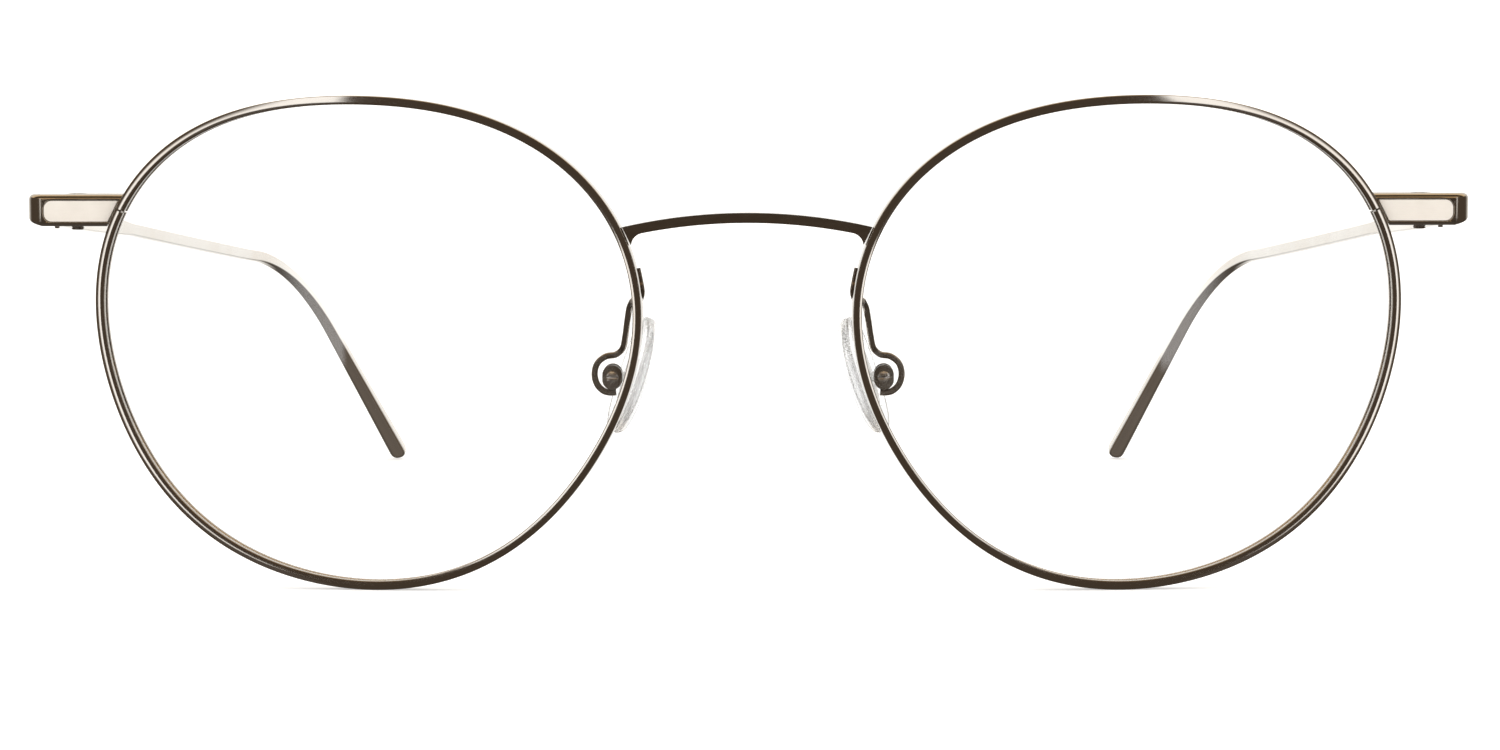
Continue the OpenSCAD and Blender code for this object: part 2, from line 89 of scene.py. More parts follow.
# The shaft leans in from its hinge, a little more along its straight part and most at the hook
TOE_IN, TOE_GAIN, HOOK_TURN = 5, 2, 10.6
HOOK_START, HOOK_LEN = 84, 18
SHAFT_T, SHAFT_H = 1, 1.2
# Growth of the section: at the root, at the ear bend and along the tail
ROOT_H, ROOT_LEN = 1.4, 36
BEND_T, BEND_H = 0.4, 0.2
TAIL_T, TAIL_T_START, TAIL_T_END = 0.6, 116, 2
TAIL_H, TAIL_H_START, TAIL_H_END = 0.7, 114, 2
SHAFT_SET = 0.08
HINGE_OFFSET = 2.2
TIP_LEN = 1.1

FRONT_W = 137.4
BAR_SET = 0.7
BAR_H = 3.05
BAR_TOP_R, BAR_LOW_R, BAR_BACK_R = 0.5, 0.4, 0.15
BAR_BEND_R = 1.4
LEG_H = 2.6
INLAY_H, INLAY_R, INLAY_T = 2, 0.75, 0.35
INLAY_DROP = 0.08
INLAY_INNER, INLAY_OUTER = 0.2, 1.6
# The lock blocks are this much lower in all than the bar
BLOCK_SHORT = 0.1
BLOCK_T = 2.2
LOCK_SCREW_IN = 3.9
LOCK_SCREW_R = 0.55
LOCK_SCREW_TIP = 0.45

ARM_W, ARM_T = 1, 0.6
ARM_BEVEL = 0.13
ARM_FOOT_ANGLES = (14, 11.5, 9)
ARM_FOOT_SINK = 0.12
# The arm's hand, from behind the rim down to the loop round the pad box
ARM_HAND = (
    (10.3, 3.95, 27.55), (10.85, 5, 27.35), (11.25, 6.1, 26.7), (11.5, 7.2, 25.5),
    (11.75, 8.5, 23.9), (12.05, 9.4, 22.6), (12.7, 9.6, 21.95), (13.7, 9.6, 21.75),
    (14.5, 9.6, 21.1), (14.78, 9.6, 20.1), (14.55, 9.6, 19.1), (13.95, 9.6, 18.45),
    (13.25, 9.6, 18.26), (12.7, 9.6, 18.28),
)
PAD_CENTRE_SHIFT = Vector((-2.1, 0.8, 0))
PAD_LEN, PAD_W, PAD_T = 11.6, 7, 1.8
PAD_SPLAY, PAD_FLARE = math.radians(18), math.radians(13)
PAD_CROWN_R = 34

# ---- Lens plane ----------------------------------------------------------------------------


def lens_r(a):
    """Radius of the lens outline at an angle."""
    return LENS_MEAN_R + sum(
        size * math.cos(math.radians(order * (a - phase))) for order, size, phase in OUTLINE
    )


def sag(rho):
    """How far the lens curve has fallen back at a radius."""
    return rho * rho / (2 * BASE_CURVE_R)


# The rims' lowest points touch the table
LENS_Z = max(
    -(lens_r(a / 2) + RIM_W / 2) * math.sin(math.radians(a / 2)) for a in range(500, 581)
)


def plane_pt(a, rho, depth):
    """Point of the wearer's left lens plane: polar angle from the nasal point, radius, depth."""
    c, s = math.cos(math.radians(a)), math.sin(math.radians(a))
    return Vector((
        LENS_PITCH / 2 - rho * c * math.cos(WRAP) - depth * math.sin(WRAP),
        -rho * c * math.sin(WRAP) + depth * math.cos(WRAP),
        LENS_Z + rho * s,
    ))


def rim_pt(a, out, depth):
    """Point beside the rim's centre line: outwards, and back from the rim's front face."""
    return plane_pt(a, lens_r(a) + out, sag(lens_r(a)) + depth)


def rim_dir(a):
    return (rim_pt(a + 0.5, 0, 0) - rim_pt(a - 0.5, 0, 0)).normalized()


# ---- Places that come from the frame -------------------------------------------------------

BLOCK_Y = rim_pt(LOCK_ANGLE, RIM_W / 2, RIM_DEPTH).y + SOLDER_GAP
MID_Y = BLOCK_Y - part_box("closing_block_upper_left")[0][1] / MM
joints = {j["name"]: j for j in frame["joints"]}
fold = joints["left_temple_fold"]
HINGE = Vector(fold["pos_m"]) / MM + Vector((0, MID_Y, 0))
TEMPLE_DROP = math.atan2(fold["axis"][1], fold["axis"][2])
PAD_PIVOT = Vector(joints["left_pad_rock"]["pos_m"]) / MM + Vector((0, MID_Y, 0))
LOCK_PT = rim_pt(LOCK_ANGLE, 0, 0)
LOCK_SLOPE = rim_dir(LOCK_ANGLE).x / rim_dir(LOCK_ANGLE).z
BAR_Y = LOCK_PT.y + BAR_SET
BAR_T = BLOCK_Y - SOLDER_GAP - BAR_Y
BAR_X0 = LOCK_PT.x + RIM_W / 2 * math.sqrt(1 + LOCK_SLOPE * LOCK_SLOPE) + LOCK_CLEAR
HALF_W = FRONT_W / 2


def in_row(p, side):
    """A wearer's-left point in millimetres, put on its side of the row frame in metres."""
    return Vector((side * p[0], p[1] - MID_Y, p[2])) * MM


def hinge_pt(p):
    """A point of the temple, from its hinge, tilted down with the temple."""
    c, s = math.cos(TEMPLE_DROP), math.sin(TEMPLE_DROP)
    return HINGE + Vector((p[0], p[1] * c + p[2] * s, p[2] * c - p[1] * s))


# ---- Mesh helpers --------------------------------------------------------------------------


def rounded(points, radii, steps=4):
    """A closed 2-D outline with each corner replaced by an arc of its own radius."""
    out = []
    n = len(points)
    for i, (p, r) in enumerate(zip(points, radii)):
        p = Vector(p)
        if r <= 0:
            out.append(p)
            continue
        a = (Vector(points[i - 1]) - p).normalized()
        b = (Vector(points[(i + 1) % n]) - p).normalized()
        half = a.angle(b) / 2
        reach = r / math.tan(half)
        centre = p + (a + b).normalized() * (r / math.sin(half))
        start, end = p + a * reach - centre, p + b * reach - centre
        turn = start.angle_signed(end)
        for k in range(steps + 1):
            out.append(centre + Matrix.Rotation(-turn * k / steps, 2) @ start)
    return out


def new_piece(name, bm, side, material, body, node_names, smooth_angle=35, even=True):
    """Makes a piece from a bmesh in millimetres, on its side, with normals facing out."""
    for v in bm.verts:
        v.co = in_row(v.co, side)
    bmesh.ops.recalc_face_normals(bm, faces=bm.faces)
    mesh = bpy.data.meshes.new(name)
    bm.to_mesh(mesh)
    bm.free()
    piece = bpy.data.objects.new(name, mesh)
    bpy.context.scene.collection.objects.link(piece)
    finish_piece(piece, material, body, node_names, smooth_angle, even)
    return piece


def even_normals(piece, smooth_angle):
    """Smooth shading that keeps each flat face flat right up to its rounded edges."""
    old_mesh = piece.data
    old_mesh.polygons.foreach_set("use_smooth", [True] * len(old_mesh.polygons))
    old_mesh.set_sharp_from_angle(angle=math.radians(smooth_angle))
    modifier = piece.modifiers.new("normals", "WEIGHTED_NORMAL")
    modifier.mode = "FACE_AREA"
    modifier.weight = 100
    modifier.keep_sharp = True
    graph = bpy.context.evaluated_depsgraph_get()
    piece.data = bpy.data.meshes.new_from_object(piece.evaluated_get(graph))
    piece.modifiers.clear()
    bpy.data.meshes.remove(old_mesh)


def finish_piece(piece, material, body, node_names, smooth_angle=35, even=True):
    """Gives a piece its material and shading, and ties it to its body and nodes."""
    mesh = piece.data
    mesh.materials.clear()
    mesh.materials.append(material)
    if even:
        even_normals(piece, smooth_angle)
    else:
        mesh.polygons.foreach_set("use_smooth", [True] * len(mesh.polygons))
        mesh.set_sharp_from_angle(angle=math.radians(smooth_angle))
    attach(piece, body)
    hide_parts(*node_names)


def cut_away(piece, cutter_bm, side, smooth_angle=30):
    """Cuts a bmesh in millimetres out of a piece."""
    for v in cutter_bm.verts:
        v.co = in_row(v.co, side)
    bmesh.ops.recalc_face_normals(cutter_bm, faces=cutter_bm.faces)
    cutter_mesh = bpy.data.meshes.new("cutter")
    cutter_bm.to_mesh(cutter_mesh)
    cutter_bm.free()
    cutter = bpy.data.objects.new("cutter", cutter_mesh)
    bpy.context.scene.collection.objects.link(cutter)
    modifier = piece.modifiers.new("cut", "BOOLEAN")
    modifier.operation = "DIFFERENCE"
    modifier.solver = "EXACT"
    modifier.object = cutter
    graph = bpy.context.evaluated_depsgraph_get()
    cut_mesh = bpy.data.meshes.new_from_object(piece.evaluated_get(graph))
    piece.modifiers.remove(modifier)
    material = piece.data.materials[0]
    old_mesh = piece.data
    piece.data = cut_mesh
    cut_mesh.materials.clear()
    cut_mesh.materials.append(material)
    cut_mesh.polygons.foreach_set("material_index", [0] * len(cut_mesh.polygons))
    even_normals(piece, smooth_angle)
    bpy.data.meshes.remove(old_mesh)
    bpy.data.objects.remove(cutter)
    bpy.data.meshes.remove(cutter_mesh)


def skin(bm, rings, caps=True):
    """Skins rings of points. UV: u runs along the sweep and v round it, both in millimetres."""
    uv = bm.loops.layers.uv.verify()
    n = len(rings[0])
    rows = [[bm.verts.new(p) for p in ring] for ring in rings]
    round_len = [0.0]
    for j in range(n):
        round_len.append(round_len[-1] + (rings[0][(j + 1) % n] - rings[0][j]).length)
    along = [0.0]
    for ring, following in zip(rings, rings[1:]):
        along.append(along[-1] + (following[0] - ring[0]).length)
    for i in range(len(rows) - 1):
        low, high = rows[i], rows[i + 1]
        for j in range(n):
            k = (j + 1) % n
            face = bm.faces.new((low[j], high[j], high[k], low[k]))
            for loop, (u, v) in zip(face.loops, ((i, j), (i + 1, j), (i + 1, j + 1), (i, j + 1))):
                loop[uv].uv = (along[u], round_len[v])
    if caps:
        bm.faces.new(rows[0])
        bm.faces.new(rows[-1])
    return rows


# ---- Materials -----------------------------------------------------------------------------


def fill_ramp(node, stops):
    """Fills a colour ramp, its two end stops first, and gives its output."""
    cells = node.color_ramp.elements
    cells[0].position, cells[-1].position = stops[0][0], stops[-1][0]
    cells[0].color, cells[-1].color = stops[0][1], stops[-1][1]
    for at, colour in stops[1:-1]:
        cells.new(at).color = colour
    return node.outputs["Color"]


class Shader:
    """A material with its Principled node and short ways to add and join nodes."""

    def __init__(self, name):
        self.mat = bpy.data.materials.new(name)
        self.mat.use_nodes = True
        self.tree = self.mat.node_tree
        self.main = self.tree.nodes["Principled BSDF"]
        self.place = self.add("ShaderNodeTexCoord").outputs["Object"]
        self.uv = self.add("ShaderNodeUVMap").outputs["UV"]

    def add(self, kind, **settings):
        node = self.tree.nodes.new(kind)
        for key, value in settings.items():
            setattr(node, key, value)
        return node

    def put(self, socket, value):
        if isinstance(value, bpy.types.NodeSocket):
            self.tree.links.new(value, socket)
        else:
            socket.default_value = value

    def stretched(self, source, scale):
        node = self.add("ShaderNodeMapping")
        self.put(node.inputs["Vector"], source)
        self.put(node.inputs["Scale"], scale)
        return node.outputs["Vector"]

    def noise(self, source, scale, detail=4, roughness=0.55):
        node = self.add("ShaderNodeTexNoise")
        self.put(node.inputs["Vector"], source)
        self.put(node.inputs["Scale"], scale)
        self.put(node.inputs["Detail"], detail)
        self.put(node.inputs["Roughness"], roughness)
        return node.outputs["Fac"]

    def spread(self, source, low, high, to_low, to_high):
        node = self.add("ShaderNodeMapRange")
        for key, value in (
            ("Value", source), ("From Min", low), ("From Max", high),
            ("To Min", to_low), ("To Max", to_high),
        ):
            self.put(node.inputs[key], value)
        return node.outputs["Result"]

    def ramp(self, source, stops):
        node = self.add("ShaderNodeValToRGB")
        self.put(node.inputs["Fac"], source)
        return fill_ramp(node, stops)

    def math(self, operation, a, b=0.0):
        node = self.add("ShaderNodeMath", operation=operation)
        self.put(node.inputs[0], a)
        self.put(node.inputs[1], b)
        return node.outputs["Value"]

    def bump(self, height, strength, distance):
        node = self.add("ShaderNodeBump")
        self.put(node.inputs["Height"], height)
        self.put(node.inputs["Strength"], strength)
        self.put(node.inputs["Distance"], distance)
        self.put(self.main.inputs["Normal"], node.outputs["Normal"])

    def set(self, **values):
        for key, value in values.items():
            self.put(self.main.inputs[key.replace("_", " ")], value)


def tinted(colour, share, warm=0.0):
    """A colour made lighter or darker by a share, and pushed towards red by warm."""
    return (
        colour[0] * share * (1 + warm), colour[1] * share, colour[2] * share * (1 - warm), 1,
    )


def plated_metal(name, colour, polish, swept, lens_shade_band=0.0):
    """Electroplated polished wire: cloudy tint, wiping marks along the wire and hairline wear.

    The last argument is how much of the wire, in millimetres round its section, faces the lens;
    that band is painted darker, as painted shade between the wire and the lens.
    """
    s = Shader(name)
    cloud = s.noise(s.place, 90, 3)
    if lens_shade_band:
        # Painted shade: the band of the section next to the lens is darkened, over the cloudy tint
        split = s.add("ShaderNodeSeparateXYZ")
        s.put(split.inputs["Vector"], s.uv)
        painted_lens_shade = s.spread(split.outputs["Y"], lens_shade_band - 0.15, lens_shade_band, 0, 0.5)
        tint = s.ramp(s.math("ADD", s.math("MULTIPLY", cloud, 0.5), painted_lens_shade), (
            (0.16, tinted(colour, 0.55, 0.06)), (0.35, tinted(colour, 0.66, 0.04)),
            (0.65, tinted(colour, 0.93, 0.03)), (0.76, tinted(colour, 1.0)),
            (0.85, tinted(colour, 1.05, -0.01)),
        ))
    else:
        tint = s.ramp(cloud, (
            (0.3, tinted(colour, 0.93, 0.03)), (0.52, tinted(colour, 1.0)),
            (0.7, tinted(colour, 1.05, -0.01)),
        ))
    if swept:
        marks = s.noise(s.stretched(s.uv, (0.35, 22, 1)), 1, 5, 0.7)
    else:
        marks = s.noise(s.stretched(s.place, (300, 300, 3000)), 1, 3, 0.6)
    smear = s.noise(s.place, 650, 5, 0.6)
    both = s.math("ADD", s.math("MULTIPLY", marks, 0.6), s.math("MULTIPLY", smear, 0.4))
    s.set(
        Base_Color=tint, Metallic=1.0,
        Roughness=s.spread(both, 0.35, 0.7, polish * 0.7, polish * 1.5),
    )
    s.bump(both, 0.03, 0.00001)
    return s.mat


def turned_steel(name, colour):
    """Lathe-turned screw steel with rings from the tool and darker oily patches at random."""
    s = Shader(name)
    rings = s.noise(s.stretched(s.place, (1500, 1500, 26000)), 1, 4, 0.65)
    grime = s.noise(s.place, 2600, 4)
    shade = s.ramp(grime, (
        (0.34, tinted(colour, 0.55, 0.05)), (0.5, tinted(colour, 0.9)),
        (0.68, tinted(colour, 1.1)),
    ))
    s.set(Base_Color=shade, Metallic=1.0, Roughness=s.spread(rings, 0.3, 0.7, 0.12, 0.28))
    s.bump(rings, 0.03, 0.00001)
    return s.mat


def satin_inlay(name, colour):
    """Fine brushed champagne panel: hair strokes along the bar under a thin lacquer."""
    s = Shader(name)
    strokes = s.noise(s.stretched(s.place, (700, 700, 42000)), 1, 6, 0.75)
    cloud = s.noise(s.place, 500, 3)
    both = s.math("ADD", s.math("MULTIPLY", strokes, 0.5), s.math("MULTIPLY", cloud, 0.5))
    shade = s.ramp(both, (
        (0.36, tinted(colour, 0.94, 0.01)), (0.62, tinted(colour, 1.03)),
    ))
    s.set(
        Base_Color=shade, Metallic=0.12,
        Roughness=s.spread(strokes, 0.3, 0.7, 0.38, 0.55),
        Coat_Weight=0.2, Coat_Roughness=0.2,
    )
    s.bump(strokes, 0.12, 0.00001)
    return s.mat


def clear_lens(name):
    """Clear coated lens: see-through, with a faint mirror from its coating and a wiping haze."""
    s = Shader(name)
    haze = s.noise(s.place, 140, 5, 0.6)
    s.set(
        Base_Color=(0.95, 0.97, 1.0, 1), Metallic=1.0, Alpha=0.06,
        Roughness=s.spread(haze, 0.4, 0.8, 0.005, 0.03),
    )
    return s.mat


def silicone(name, colour, rough, clear, cloud_scale):
    """Clear cast silicone or plastic: milky clouds inside and a faint moulded grain."""
    s = Shader(name)
    cloud = s.noise(s.place, cloud_scale, 4, 0.6)
    shade = s.ramp(cloud, ((0.32, tinted(colour, 0.93)), (0.66, tinted(colour, 1.0))))
    grain = s.noise(s.place, 5200, 3)
    s.set(
        Base_Color=shade, Transmission_Weight=clear, IOR=1.41,
        Roughness=s.spread(grain, 0.3, 0.7, rough * 0.7, rough * 1.4),
    )
    s.bump(grain, 0.1, 0.00002)
    return s.mat


# This much of the wire's section, in millimetres round it, faces the lens and gets painted shade
WIRE_LENS_SHADE = 2.1
metal_wire = plated_metal("plated_wire", (0.60, 0.565, 0.52), 0.06, True, WIRE_LENS_SHADE)
metal_body = plated_metal("plated_body", (0.46, 0.425, 0.38), 0.15, False)
metal_temple = plated_metal("plated_temple", (0.9, 0.875, 0.835), 0.1, True)
metal_lock = plated_metal("plated_lock", (0.5, 0.465, 0.42), 0.16, False)
metal_box = plated_metal("plated_box", (0.42, 0.39, 0.35), 0.1, False)
metal_hinge = plated_metal("plated_hinge", (0.55, 0.52, 0.48), 0.2, False)
steel = turned_steel("turned_steel", (0.62, 0.6, 0.58))
inlay_metal = satin_inlay("satin_inlay", (0.9, 0.845, 0.77))
lens_clear = clear_lens("clear_lens")
pad_clear = silicone("clear_silicone", (0.985, 0.988, 0.985), 0.2, 0.97, 900)
core_clear = silicone("insert_plastic", (0.9, 0.9, 0.885), 0.2, 0.75, 700)


# ---- Eyewires ------------------------------------------------------------------------------

RIM_STEPS = 720
# Radii of the section's corners: front, groove lips, groove bottom, back inner, back outer
RIM_FRONT_R, LIP_R, GROOVE_R, RIM_BACK_IN_R, RIM_BACK_OUT_R = 0.07, 0.05, 0.03, 0.2, 0.26


def rim_section():
    """Section of the wire: back from the front face, and out from the centre line."""
    half = RIM_W / 2
    mid = RIM_DEPTH / 2
    corners = (
        ((0, -half), RIM_FRONT_R), ((mid - GROOVE_HALF, -half), LIP_R),
        ((mid, GROOVE_D - half), GROOVE_R), ((mid + GROOVE_HALF, -half), LIP_R),
        ((RIM_DEPTH, -half), RIM_BACK_IN_R), ((RIM_DEPTH, half), RIM_BACK_OUT_R),
        ((0, half), RIM_FRONT_R),
    )
    return rounded([c[0] for c in corners], [c[1] for c in corners])


def eyewire(side_name, side):
    section = rim_section()
    start, turn = LOCK_ANGLE + LOCK_GAP, 360 - 2 * LOCK_GAP
    rings = [
        [rim_pt(start + turn * i / RIM_STEPS, q.y, q.x) for q in section]
        for i in range(RIM_STEPS + 1)
    ]
    bm = bmesh.new()
    skin(bm, rings)
    # The wire's material paints the lens side of this section darker, as painted shade
    new_piece(
        "eyewire_" + side_name, bm, side, metal_wire, "front",
        ["rim_" + side_name], 40,
    )


# ---- Lenses --------------------------------------------------------------------------------

LENS_STEPS = 360
LENS_RINGS = 26
BEVEL_ROOM = 0.05


def lens(side_name, side):
    """Curved disc with a bevelled edge that sits in the rim's groove."""
    inset = RIM_W / 2 + LENS_GAP
    bevel = GROOVE_HALF - BEVEL_ROOM
    front_set = (RIM_DEPTH - LENS_T) / 2
    angles = [i * 360 / LENS_STEPS for i in range(LENS_STEPS)]

    def disc(depth):
        return [
            [
                plane_pt(a, share * (lens_r(a) - inset), sag(share * (lens_r(a) - inset)) + depth)
                for a in angles
            ]
            for share in [k / LENS_RINGS for k in range(1, LENS_RINGS + 1)]
        ]

    edge = [
        [rim_pt(a, out - inset, RIM_DEPTH / 2 + across) for a in angles]
        for out, across in ((0, -bevel), (GROOVE_D, 0), (0, bevel))
    ]
    front, back = disc(front_set), disc(front_set + LENS_T)
    rings = front + edge + back[::-1]
    bm = bmesh.new()
    rows = skin(bm, rings, caps=False)
    for row, depth in ((rows[0], front_set), (rows[-1], front_set + LENS_T)):
        pole = bm.verts.new(plane_pt(0, 0, depth))
        for j in range(LENS_STEPS):
            bm.faces.new((pole, row[j], row[(j + 1) % LENS_STEPS]))
    piece = new_piece(
        "clear_lens_" + side_name, bm, side, lens_clear, "front",
        ["lens_" + side_name], even=False,
    )
    piece.visible_shadow = False


# ---- Bridge --------------------------------------------------------------------------------


ARCH_STEPS, FILLET_STEPS = 60, 24
# The fillet runs a little past level, until it meets the slanted end
FILLET_OVER, FILLET_CLEAR = 0.4, 0.02
ARCH_BEVEL, ARCH_BEVEL_STEPS, ARCH_BEVEL_END = 0.26, 5, 0.3


def bridge():
    """Arched bar with a filleted foot and a slanted cut at each rim."""
    end = rim_pt(BRIDGE_ANGLE, 0, 0)
    d = rim_dir(BRIDGE_ANGLE)
    slope = d.x / d.z
    gap = (RIM_W / 2 + SOLDER_GAP) * math.sqrt(1 + slope * slope) + BRIDGE_BACK * math.sin(WRAP)
    reach = end.x - gap
    rise_r = (reach * reach + BRIDGE_RISE * BRIDGE_RISE) / (2 * BRIDGE_RISE)
    arc_z = BRIDGE_RISE - rise_r
    over_r, under_r = rise_r + BRIDGE_H / 2, rise_r - BRIDGE_H / 2
    foot_x = reach - FOOT_IN
    foot_z = arc_z + math.sqrt((under_r - FOOT_R) ** 2 - foot_x ** 2)
    touch_x = foot_x * under_r / (under_r - FOOT_R)

    def arc_end(r):
        """Where a circle round the arch's centre meets the end's slanted cut."""
        x = reach
        for _ in range(8):
            x = reach + slope * (arc_z + math.sqrt(r * r - x * x))
        return x

    top_x = arc_end(over_r)

    def arc(r, end_x):
        return [
            Vector((x, arc_z + math.sqrt(r ** 2 - x * x)))
            for x in [end_x - 2 * end_x * k / ARCH_STEPS for k in range(ARCH_STEPS + 1)]
        ]

    over, under = arc(over_r, top_x), arc(under_r, touch_x)
    # Fillet from the arch down to the cut
    start_a = math.atan2(
        arc_z + math.sqrt(under_r ** 2 - touch_x ** 2) - foot_z, touch_x - foot_x
    )
    fillet = []
    for k in range(1, FILLET_STEPS + 1):
        a = start_a - (start_a + FILLET_OVER) * k / FILLET_STEPS
        p = Vector((foot_x + FOOT_R * math.cos(a), foot_z + FOOT_R * math.sin(a)))
        if p.x >= reach + slope * p.y - FILLET_CLEAR:
            break
        fillet.append(p)
    low = Vector((reach + slope * fillet[-1].y, fillet[-1].y))
    right = fillet + [low, low.lerp(over[0], 0.5)]
    mirror = [Vector((-p.x, p.y)) for p in right[::-1]]
    # Anticlockwise seen from behind: along the top, down the left, back along the under side
    outline = over + mirror + under[::-1] + right
    bm = bmesh.new()
    front_y, back_y = end.y + BRIDGE_FRONT, end.y + BRIDGE_BACK
    loops = []
    for y in (front_y, back_y):
        loops.append([bm.verts.new((p.x, y, end.z + p.y)) for p in outline])
    n = len(outline)
    bm.faces.new(loops[0])
    bm.faces.new(loops[1])
    for j in range(n):
        k = (j + 1) % n
        bm.faces.new((loops[0][j], loops[0][k], loops[1][k], loops[1][j]))
    bmesh.ops.recalc_face_normals(bm, faces=bm.faces)
    long_edges = [
        e for e in bm.edges
        if abs(e.verts[0].co.y - e.verts[1].co.y) < 1e-6
        and min(abs(e.verts[0].co.x), abs(e.verts[1].co.x)) < reach - ARCH_BEVEL_END
    ]
    bmesh.ops.bevel(
        bm, geom=long_edges, offset=ARCH_BEVEL, segments=ARCH_BEVEL_STEPS, profile=0.5,
        affect="EDGES", clamp_overlap=True,
    )
    new_piece("bridge_arch", bm, LEFT, metal_body, "front", ["bridge"], 40)


# ---- Temples -------------------------------------------------------------------------------

SHAFT_STEPS, TIP_STEPS = 420, 9
# Rounding of the section's corners, as shares of its smaller half, before and past the ear bend
EDGE_SHARE, EDGE_SHARE_GAIN = 0.34, 0.5
EDGE_EARLY, EDGE_LATE = 10, 20


def ramp(s, start, length):
    """Share of a stretch of the temple that lies behind s, from 0 to 1."""
    return max(0.0, min(1.0, (s - start) / length))


def shaft_dir(s):
    """Which way the temple runs at a length s along it."""
    pitch = math.radians(TAIL_BEND * ramp(s, BEND_START, BEND_LEN))
    t = ramp(s, HOOK_START, HOOK_LEN)
    hook = t * t * (3 - 2 * t)
    yaw = math.radians(TOE_IN + TOE_GAIN * ramp(s, 0, BEND_START) + HOOK_TURN * hook)
    return Vector((
        -math.sin(yaw), math.cos(yaw) * math.cos(pitch), -math.cos(yaw) * math.sin(pitch),
    ))


def shaft_size(s):
    """Half thickness and half height of the temple at a length s along it."""
    bend = ramp(s, BEND_START, BEND_LEN)
    tail_t = ramp(s, TAIL_T_START, TEMPLE_LEN - TAIL_T_START - TAIL_T_END)
    tail_h = ramp(s, TAIL_H_START, TEMPLE_LEN - TAIL_H_START - TAIL_H_END)
    t = (SHAFT_T + BEND_T * bend + TAIL_T * tail_t) / 2
    root = 1 - ramp(s, 0, ROOT_LEN) ** 2
    h = (SHAFT_H + ROOT_H * root + BEND_H * bend + TAIL_H * tail_h) / 2
    return t, h


def temple(side_name, side):
    """Shaft, ear bend and tail in one stamped bar, with a rounded tip."""
    lengths = [TEMPLE_LEN * i / SHAFT_STEPS for i in range(SHAFT_STEPS + 1)]
    lengths = [s for s in lengths if s < TEMPLE_LEN - TIP_LEN]
    lengths += [
        TEMPLE_LEN - TIP_LEN * (1 - math.sin(math.pi / 2 * k / TIP_STEPS))
        for k in range(TIP_STEPS + 1)
    ]
    p = Vector((HINGE_OFFSET - SHAFT_T / 2, SHAFT_SET, 0))
    rings = []
    for i, s in enumerate(lengths):
        if i:
            p = p + (s - lengths[i - 1]) * shaft_dir((s + lengths[i - 1]) / 2)
        d = shaft_dir(s)
        inboard = Vector((-1, 0, 0)) + d[0] * d
        across = inboard.normalized()
        up = -across.cross(d)
        ht, hh = shaft_size(s)
        end = ramp(s, TEMPLE_LEN - TIP_LEN, TIP_LEN)
        scale = math.sqrt(max(0.002, 1 - end * end))
        ht, hh = ht * scale, hh * scale
        # The bar is flat on its faces and gets rounder towards the tail
        past_bend = ramp(s, BEND_START - EDGE_EARLY, BEND_LEN + EDGE_LATE)
        soft = EDGE_SHARE + EDGE_SHARE_GAIN * past_bend
        r = soft * min(ht, hh)
        section = rounded([(-ht, -hh), (ht, -hh), (ht, hh), (-ht, hh)], [r] * 4, 5)
        rings.append([hinge_pt(p + q.x * across + q.y * up) for q in section])
    bm = bmesh.new()
    skin(bm, rings)
    new_piece(
        "temple_bar_" + side_name, bm, side, metal_temple,
        side_name + "_temple", ["temple_" + side_name], 50,
    )


# ---- Endpieces -----------------------------------------------------------------------------


MITRE_R = 0.05
BAR_RUN_IN, BAR_STRAIGHT_STEPS, BAR_BEND_STEPS, LEG_STEPS = 1.2, 4, 24, 6
# The pocket's mouth and walls: how far outside the panel, and how deep behind the bar's face
POCKET_MOUTH = ((0.42, -0.3), (0.12, 0))
POCKET_WALL, POCKET_LIP, POCKET_ROOM = 0.03, 0.09, 0.07


def inlay_ring(grow, y):
    """Outline of the light panel, grown by a margin: square at the rim and round outside."""
    h = INLAY_H / 2 + grow
    x0, x1 = BAR_X0 + INLAY_INNER - grow, HALF_W - INLAY_OUTER + grow
    middle = LOCK_PT.z - INLAY_DROP
    outline = rounded(
        [(x0 - LOCK_SLOPE * h, -h), (x1, -h), (x1, h), (x0 + LOCK_SLOPE * h, h)],
        [MITRE_R, INLAY_R, INLAY_R, MITRE_R], 8,
    )
    return [Vector((q.x, y, middle + q.y)) for q in outline]


def bar_rings():
    """Rings of the bar from its mitred inner end, round the bend and back to the hinge."""
    half = BAR_H / 2
    lean = math.tan(TEMPLE_DROP)
    top_room = half - LEG_H / 2

    def ring(outer, inward, t, h, lift, mitre=False):
        section = rounded(
            [(0, -h), (t, -h), (t, h), (0, h)],
            [BAR_LOW_R, BAR_BACK_R, BAR_BACK_R, BAR_TOP_R], 7,
        )
        points = []
        for q in section:
            dz = q.y + lift
            x = outer.x + inward.x * q.x + (LOCK_SLOPE * dz if mitre else 0)
            points.append(Vector((x, outer.y + inward.y * q.x, LOCK_PT.z + dz)))
        return points

    rings = [ring(Vector((BAR_X0, BAR_Y)), Vector((0, 1)), BAR_T, half, 0, True)]
    straight_end = HALF_W - BAR_BEND_R
    run_in = BAR_X0 + BAR_RUN_IN
    for k in range(BAR_STRAIGHT_STEPS + 1):
        x = run_in + (straight_end - run_in) * k / BAR_STRAIGHT_STEPS
        rings.append(ring(Vector((x, BAR_Y)), Vector((0, 1)), BAR_T, half, 0))
    for k in range(1, BAR_BEND_STEPS + 1):
        share = k / BAR_BEND_STEPS
        c, s = math.cos(math.pi / 2 * share), math.sin(math.pi / 2 * share)
        outer = Vector((straight_end + BAR_BEND_R * s, BAR_Y + BAR_BEND_R * (1 - c)))
        rings.append(ring(
            outer, Vector((-s, c)), BAR_T + (SHAFT_T - BAR_T) * share,
            half + (LEG_H / 2 - half) * share, top_room * share,
        ))
    bend_end = BAR_Y + BAR_BEND_R
    for k in range(1, LEG_STEPS + 1):
        y = bend_end + (HINGE.y - bend_end) * k / LEG_STEPS
        lift = min(top_room, lean * (HINGE.y - y))
        rings.append(ring(Vector((HALF_W, y)), Vector((-1, 0)), SHAFT_T, LEG_H / 2, lift))
    return rings


